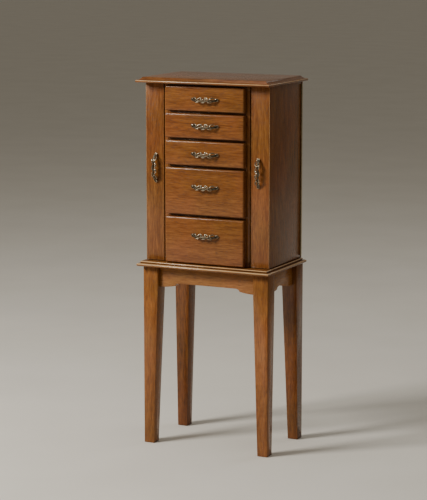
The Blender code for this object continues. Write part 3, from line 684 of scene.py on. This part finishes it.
def make_pulls():
    """One cast shape for all seven pulls: level on the drawers, upright on the doors."""
    mesh = pull_mesh()
    mesh.shade_smooth()
    mesh.materials.clear()
    mesh.materials.append(BRASS)
    nodes = [f"drawer_{number}_pull" for number in DRAWERS] + [f"door_{name}_pull" for name, _ in DOORS]
    for node in nodes:
        low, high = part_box(node)
        pull = bpy.data.objects.new(f"{node}_cast", mesh)
        bpy.context.scene.collection.objects.link(pull)
        pull.location = ((low.x + high.x) / 2, high.y, (low.z + high.z) / 2)
        if node.startswith("door_left"):
            pull.rotation_euler.y = math.pi / 2
        elif node.startswith("door_right"):
            pull.rotation_euler.y = -math.pi / 2
        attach(pull, BODY_OF[node])
        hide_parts(node)


# ---- hinges, catches, hooks and mirror ----------------------------------------------------------

RAIL_THICKNESS = 8 * MM
HOOKS = 6
HOOK_MARGIN = 3 * MM
HOOK_REACH = 5.5 * MM
HOOK_BEND = 4.5 * MM
HOOK_TURN = 100
HOOK_STEPS = 8
TRAY_WALL = 4 * MM
TRAY_FLOOR = 3.5 * MM
DIVIDER = 4 * MM
DRAWER_WALL = 8 * MM
DRAWER_FLOOR = 4 * MM
CLEAR = 0.4 * MM
LID_SCREWS = 6
LID_SCREW_MARGIN = 15 * MM
LID_SCREW_INSET = 6 * MM
BARREL_DEPTH = 3.15 * MM
LEAF_THICKNESS = 0.8 * MM
DOOR_SCREWS = 8
DOOR_SCREW_MARGIN = 20 * MM
DOOR_SCREW_INSET = 5 * MM
DOOR_LEAF_FACE = 0.95 * MM
BACK_SCREW_INSET = 12 * MM
BACK_SCREW_TOP_MARGIN = 40 * MM


def make_hinges():
    """The continuous hinges keep their CAD shape, with eased edges, and gain rows of screws."""
    for node in frame["nodes"]:
        if "hinge" not in node:
            continue
        bm = clean_copy(node)
        ease(bm, 0.12 * MM, 1, sharper_than=50)
        add_piece(f"{node}_metal", mesh_of(bm, node), BODY_OF[node], STEEL, [node], smooth=40)
    low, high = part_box("lid_hinge_case_leaf")
    row = spaced(low.x + LID_SCREW_MARGIN, high.x - LID_SCREW_MARGIN, LID_SCREWS)
    y, z = high.y - BARREL_DEPTH, low.z + LID_SCREW_INSET
    screws("lid_hinge_back_screws", [((x, y, z), (0, 1, 0)) for x in row], "case")
    low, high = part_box("lid_hinge_leaf")
    row = spaced(low.x + LID_SCREW_MARGIN, high.x - LID_SCREW_MARGIN, LID_SCREWS)
    y, z = low.y + LID_SCREW_INSET, high.z - LEAF_THICKNESS
    screws("lid_hinge_lid_screws", [((x, y, z), (0, 0, -1)) for x in row], "lid")
    for name, side in DOORS:
        low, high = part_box(f"door_{name}_panel")
        x = side * (max(abs(low.x), abs(high.x)) - DOOR_SCREW_INSET)
        y = high.y + DOOR_LEAF_FACE
        column = spaced(low.z + DOOR_SCREW_MARGIN, high.z - DOOR_SCREW_MARGIN, DOOR_SCREWS)
        screws(f"door_{name}_hinge_screws", [((x, y, z), (0, 1, 0)) for z in column], f"door_{name}")


def make_back_screws():
    """Small screws round the edge of the back panel."""
    low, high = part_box("case_back")
    sides = (low.x + BACK_SCREW_INSET, high.x - BACK_SCREW_INSET)
    column = spaced(low.z + BACK_SCREW_INSET, high.z - BACK_SCREW_TOP_MARGIN, 5)
    places = [(x, z) for x in sides for z in column]
    places += [(x, low.z + BACK_SCREW_INSET) for x in (low.x / 3, high.x / 3)]
    screws("back_panel_screws", [((x, high.y, z), (0, 1, 0)) for x, z in places], "case", 2.2 * MM)


def spaced(start, end, count):
    """Evenly spaced values, both ends included."""
    return [start + (end - start) * i / (count - 1) for i in range(count)]


def screws(name, places, body, radius=1.9 * MM):
    """One piece with a screw head at each (place, axis)."""
    bm = bmesh.new()
    for place, axis in places:
        add_screw(bm, place, axis, radius)
    add_piece(name, mesh_of(bm, name), body, STEEL, smooth=35)


def make_catches():
    """Magnetic catches: an eased case, two pole plates and a screw on each side."""
    plates_proud = 1.2 * MM
    plate_inset, plate_rise, plate_half, plate_depth = 4 * MM, 2.2 * MM, 0.6 * MM, 4 * MM
    screw_inset = 2.6 * MM
    for name, _ in DOORS:
        node = f"catch_{name}"
        low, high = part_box(node)
        bm = bmesh.new()
        add_box(bm, (low.x, low.y + plates_proud, low.z), high)
        ease(bm, 0.8 * MM, 3)
        middle = (low + high) / 2
        for level in (-1, 1):
            z = middle.z + level * plate_rise
            plate_low = (low.x + plate_inset, low.y, z - plate_half)
            add_box(bm, plate_low, (high.x - plate_inset, low.y + plate_depth, z + plate_half))
        for end in (low.x + screw_inset, high.x - screw_inset):
            add_screw(bm, (end, middle.y, low.z), (0, 0, -1), 1.5 * MM, 0.5 * MM)
        mesh = mesh_of(bm, node)
        add_piece(f"{node}_body", mesh, BODY_OF[node], MAGNET, [node], smooth=35)


def make_hooks():
    """A bevelled rail on each door with a row of turned-up brass hooks."""
    for name, side in DOORS:
        node = f"door_{name}_hook_rail"
        low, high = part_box(node)
        back_x = low.x if side < 0 else high.x
        face_x = back_x - side * RAIL_THICKNESS
        bm = bmesh.new()
        add_box(bm, (min(back_x, face_x), low.y, low.z), (max(back_x, face_x), high.y, high.z))
        ease(bm, 1.4 * MM, 3)
        board = wood("Y", 90 + side, stain=INNER, roughness=0.5)
        add_piece(f"{node}_board", mesh_of(bm, node), BODY_OF[node], board, [node], smooth=35)
        bm = bmesh.new()
        z = (low.z + high.z) / 2
        pitch = (high.y - low.y - 2 * HOOK_MARGIN) / HOOKS
        for number in range(HOOKS):
            y = low.y + HOOK_MARGIN + pitch * (number + 0.5)
            add_hook(bm, Vector((face_x, y, z)), side)
        mesh = mesh_of(bm, f"hooks_{name}")
        add_piece(f"door_{name}_hooks", mesh, BODY_OF[node], BRASS, smooth=40)


def add_hook(bm, foot, side):
    """A collar, a shank, and a wire that turns up to a ball."""
    inward = -side
    collar = [(0, 3.0 * MM), (0.6 * MM, 3.0 * MM), (1.1 * MM, 2.2 * MM), (1.6 * MM, 1.5 * MM)]
    add_turning(bm, foot, (inward, 0, 0), collar)
    path = [foot + Vector((inward * HOOK_REACH * share, 0, 0)) for share in (0, 0.5, 1)]
    for step in range(1, HOOK_STEPS + 1):
        turn = math.radians(HOOK_TURN * step / HOOK_STEPS)
        reach = HOOK_REACH + HOOK_BEND * math.sin(turn)
        path.append(foot + Vector((inward * reach, 0, HOOK_BEND * (1 - math.cos(turn)))))
    add_strand(bm, path, tapered(path, 1.25, 0.25), sides=12)
    add_ball(bm, path[-1], 1.7 * MM)


def make_mirror():
    """A mirror with a polished bevel all round its visible face."""
    low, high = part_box("lid_mirror")
    border = 6 * MM
    bevel_depth = 1.2 * MM
    bm = bmesh.new()
    outer = [(low.x, low.y), (high.x, low.y), (high.x, high.y), (low.x, high.y)]
    inner = [
        (x + border * (1 if x == low.x else -1), y + border * (1 if y == low.y else -1)) for x, y in outer
    ]
    rings = [(outer, high.z), (outer, low.z + bevel_depth), (inner, low.z)]
    skin(bm, [[bm.verts.new((x, y, z)) for x, y in ring] for ring, z in rings])
    mesh = mesh_of(bm, "mirror")
    add_piece("lid_mirror_glass", mesh, BODY_OF["lid_mirror"], GLASS, ["lid_mirror"])


# ---- linings and soft pieces --------------------------------------------------------------------

FELT_THICKNESS = 1.0 * MM
FELT_CELL = 4 * MM
FELT_RISE = 0.25 * MM
FELT_RIPPLE = 0.22 * MM
FELT_EDGE = 4 * MM
FELT_EDGE_LIFT = 0.5 * MM

ROLLS = 6
ROLL_BASE = 3.5 * MM
ROLL_END_MARGIN = 1.5 * MM
ROLL_SEGMENTS = 46
ROLL_SIDES = 22
ROLL_VOXEL = 1.7 * MM
ROLL_HELD = 2.5 * MM
SIM_FRAMES = 16
SIM_CAP = 0.9 * MM

PLEATS = 15
PLEAT_DEPTH = 1.9 * MM
BELLY_SHARE = 0.68
BAND_SHARE = 0.86
SAG = 2.2 * MM
WAVER = 0.8 * MM
POUCH_CLOTH = 0.7 * MM


def grid_mesh(name, place, columns, rows, thickness):
    """A closed thin cloth: place(s, t) gives a point for s and t from 0 to 1, with its wrong side behind."""
    bm = bmesh.new()
    points = [
        [bm.verts.new(place(i / columns, j / rows)) for i in range(columns + 1)] for j in range(rows + 1)
    ]
    for j in range(rows):
        for i in range(columns):
            bm.faces.new((points[j][i], points[j][i + 1], points[j + 1][i + 1], points[j + 1][i]))
    bm.normal_update()
    wrong = {vert: bm.verts.new(vert.co - vert.normal * thickness) for row in points for vert in row}
    for face in list(bm.faces):
        bm.faces.new([wrong[vert] for vert in reversed(face.verts)])
    rim = [*points[0], *[row[-1] for row in points[1:]], *reversed(points[-1][:-1]),
           *[row[0] for row in reversed(points[1:-1])]]
    for a, b in zip(rim, rim[1:] + rim[:1]):
        bm.faces.new((b, a, wrong[a], wrong[b]))
    return mesh_of(bm, name)


def lay_felt(name, x0, x1, y0, y1, z, body, seed):
    """A felt lining cut to a floor: nearly flat, with soft rises and edges that turn up a little."""

    def place(s, t):
        """A point of the felt's upper side, for s and t from 0 to 1."""
        x = x0 + (x1 - x0) * s
        y = y0 + (y1 - y0) * t
        ripple = FELT_RIPPLE * noise.noise(Vector((x * 40, y * 40, seed)))
        edge = min(s * (x1 - x0), (1 - s) * (x1 - x0), t * (y1 - y0), (1 - t) * (y1 - y0))
        lift = FELT_EDGE_LIFT * max(0.0, 1 - edge / FELT_EDGE) ** 2
        return Vector((x, y, z + FELT_THICKNESS + FELT_RISE + ripple + lift))

    columns = max(8, round((x1 - x0) / FELT_CELL))
    rows = max(8, round((y1 - y0) / FELT_CELL))
    mesh = grid_mesh(name, place, columns, rows, FELT_THICKNESS)
    felt = add_piece(name, mesh, body, FELT, smooth=60)


def make_linings():
    """Felt on the floor of each drawer and of each cell of the ring tray."""
    for number in DRAWERS:
        low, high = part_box(f"drawer_{number}_box")
        x0, x1 = low.x + DRAWER_WALL + CLEAR, high.x - DRAWER_WALL - CLEAR
        y0, y1 = low.y + DRAWER_WALL + CLEAR, high.y - DRAWER_WALL - CLEAR
        name = f"drawer_{number}"
        floor_z = low.z + DRAWER_FLOOR
        lay_felt(f"{name}_lining", x0, x1, y0, y1, floor_z, name, number)
    low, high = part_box("ring_tray")
    floor_z = low.z + TRAY_FLOOR
    x0, x1 = low.x + TRAY_WALL + CLEAR, high.x - TRAY_WALL - CLEAR
    y0, y1 = low.y + TRAY_WALL, high.y - TRAY_WALL
    middle = DIVIDER / 2 + CLEAR
    third = (y1 - y0) / 3
    for number in range(3):
        near = y0 + number * third + (CLEAR if number == 0 else middle)
        far = y0 + (number + 1) * third - (CLEAR if number == 2 else middle)
        name = f"tray_lining_{number + 1}"
        lay_felt(name, middle, x1, near, far, floor_z, "case", 10 + number)
    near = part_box("ring_rolls")[1].y + DIVIDER + 2.5 * CLEAR
    lay_felt("tray_lining_4", x0, -middle, near, y1 - CLEAR, floor_z, "case", 14)


def make_ring_rolls():
    """Six padded rolls on a thin base. Each is swollen and wrinkled by a short cloth simulation."""
    low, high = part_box("ring_rolls")
    pitch = (high.y - low.y) / ROLLS
    base_top = low.z + ROLL_BASE
    base_low = (low.x + CLEAR, low.y + CLEAR, low.z)
    bm = bmesh.new()
    add_box(bm, base_low, (high.x - CLEAR, high.y - CLEAR, base_top))
    ease(bm, 0.8 * MM, 3)
    mesh = mesh_of(bm, "roll_base")
    base = add_piece("ring_roll_base", mesh, "case", VELVET, ["ring_rolls"], smooth=35)
    rolls = []
    for number in range(ROLLS):
        middle_y = low.y + pitch * (number + 0.5)
        name = f"ring_roll_{number + 1}"
        ends = (low.x + ROLL_END_MARGIN, high.x - ROLL_END_MARGIN)
        rolls.append(roll_start(name, *ends, middle_y, pitch, base_top, high.z))
    swell(rolls)
    for number, rough in enumerate(rolls):
        name = f"ring_roll_{number + 1}"
        roll = add_piece(name, applied(rough, name), "case", VELVET, ["ring_rolls"], smooth=70)


def roll_start(name, x0, x1, y, pitch, z0, z1):
    """A slightly slim roll before it swells: an upright oval section with rounded, sewn ends."""
    half_y = pitch / 2 - 1.1 * MM
    half_z = (z1 - z0) / 2 - 0.7 * MM
    centre_z = (z0 + z1) / 2
    bm = bmesh.new()
    loops = []
    for i in range(ROLL_SEGMENTS + 1):
        s = i / ROLL_SEGMENTS
        x = x0 + (x1 - x0) * s
        inset = min(s, 1 - s) * (x1 - x0) / (6 * MM)
        full = math.sqrt(1 - (1 - min(1, inset * 0.96 + 0.04)) ** 2)
        loop = []
        for k in range(ROLL_SIDES):
            turn = 2 * math.pi * k / ROLL_SIDES
            bulge = 1 + 0.02 * noise.noise(Vector((x * 90, y * 90, k * 0.6)))
            loop.append(bm.verts.new((
                x,
                y + half_y * full * bulge * math.copysign(abs(math.cos(turn)) ** 0.85, math.cos(turn)),
                centre_z + half_z * full * bulge * math.sin(turn),
            )))
        loops.append(loop)
    skin(bm, loops)
    rough = bpy.data.objects.new(f"{name}_rough", mesh_of(bm, name))
    bpy.context.scene.collection.objects.link(rough)
    remesh = rough.modifiers.new("skin", "REMESH")
    remesh.mode = "VOXEL"
    remesh.voxel_size = ROLL_VOXEL
    roll = bpy.data.objects.new(f"{name}_skin", applied(rough, f"{name}_skin"))
    bpy.context.scene.collection.objects.link(roll)
    held = roll.vertex_groups.new(name="held")
    lowest = [v.index for v in roll.data.vertices if v.co.z < z0 + ROLL_HELD]
    held.add(lowest, 1.0, "REPLACE")
    return roll


def swell(pads):
    """Inflates closed skins as cloth, keeps each point near its start, and leaves the result in the mesh."""
    starts = [[v.co.copy() for v in pad.data.vertices] for pad in pads]
    for pad in pads:
        cloth = pad.modifiers.new("cloth", "CLOTH")
        cloth.settings.quality = 6
        cloth.settings.mass = 0.15
        cloth.settings.tension_stiffness = 12
        cloth.settings.compression_stiffness = 12
        cloth.settings.shear_stiffness = 6
        cloth.settings.bending_stiffness = 0.15
        cloth.settings.use_pressure = True
        cloth.settings.uniform_pressure_force = 4
        cloth.settings.shrink_min = -0.06
        cloth.settings.vertex_group_mass = "held"
        cloth.settings.effector_weights.gravity = 0
        cloth.collision_settings.use_collision = False
        cloth.point_cache.frame_start = 1
        cloth.point_cache.frame_end = SIM_FRAMES
    scene = bpy.context.scene
    for frame_number in range(1, SIM_FRAMES + 1):
        scene.frame_set(frame_number)
    graph = bpy.context.evaluated_depsgraph_get()
    for pad, start in zip(pads, starts):
        swollen = bpy.data.meshes.new_from_object(pad.evaluated_get(graph))
        pad.modifiers.clear()
        for vert, first in zip(swollen.vertices, start):
            move = vert.co - first
            if move.length > SIM_CAP:
                vert.co = first + move.normalized() * SIM_CAP
        pad.data = swollen
    scene.frame_set(1)


def make_pouches():
    """Velvet pockets on the doors: gathered into a band at the top, full and sagging below."""
    for name, side in DOORS:
        node = f"door_{name}_pouch"
        low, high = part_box(node)
        back_x = low.x if side < 0 else high.x
        depth = (high.x - low.x) - 1.0 * MM
        width = high.y - low.y - 2 * MM
        height = high.z - low.z - 1.0 * MM

        def place(s, t):
            """s runs along the pocket's front from edge to edge, t from the bottom seam to the top hem."""
            across = abs(2 * s - 1)
            outline = (1 - across ** 4) ** 0.5
            belly = math.sin(math.pi * min(1, t * 1.12 + 0.06)) ** 0.7
            mouth = 0.56 + 0.10 * max(0, t - BAND_SHARE) / (1 - BAND_SHARE)
            drawn_in = min(1, max(0, (t - BELLY_SHARE) / (BAND_SHARE - BELLY_SHARE)))
            fullness = (1 - drawn_in) * belly * 0.92 + drawn_in * mouth
            folds = math.sin(2 * math.pi * PLEATS * s + 1.6 * noise.noise(Vector((s * 9, side, 3))))
            strength = (0.30 + 0.70 * math.exp(-(((t - BAND_SHARE) / 0.24) ** 2))) * (1 - math.exp(-t * 9))
            reach = depth * outline * fullness + folds * strength * PLEAT_DEPTH * outline
            sag = -SAG * outline * math.sin(math.pi * min(1, t * 1.4)) * (1 - t)
            drift = noise.noise(Vector((s * 6, t * 4, side * 5)))
            reach += WAVER * drift * outline * math.sin(math.pi * t)
            return Vector((
                back_x - side * max(0.6 * MM, reach),
                low.y + 1 * MM + width * s,
                low.z + 2.8 * MM + (height - 3.2 * MM) * t + sag,
            ))

        mesh = grid_mesh(f"pouch_{name}", place, 240, 60, POUCH_CLOTH)
        cloth = f"door_{name}_pouch_cloth"
        pouch = add_piece(cloth, mesh, BODY_OF[node], VELVET, [node], smooth=70)
        make_pouch_band(name, side, place, BODY_OF[node])


def make_pouch_band(name, side, place, body):
    """The corded elastic that gathers a pocket's mouth."""
    bm = bmesh.new()
    outward = Vector((-side * POUCH_CLOTH, 0, 0))
    path = [place(s, BAND_SHARE) + outward for s in spaced(0.012, 0.988, 160)]
    add_strand(bm, path, [0.75 * MM] * len(path), sides=8)
    mesh = mesh_of(bm, f"pouch_cord_{name}")
    add_piece(f"door_{name}_pouch_cord", mesh, body, FELT, smooth=60)


# ---- run ----------------------------------------------------------------------------------------

make_camera()
make_studio()
make_boards()
make_pulls()
make_hinges()
make_back_screws()
make_catches()
make_hooks()
make_mirror()
make_linings()
make_ring_rolls()
make_pouches()
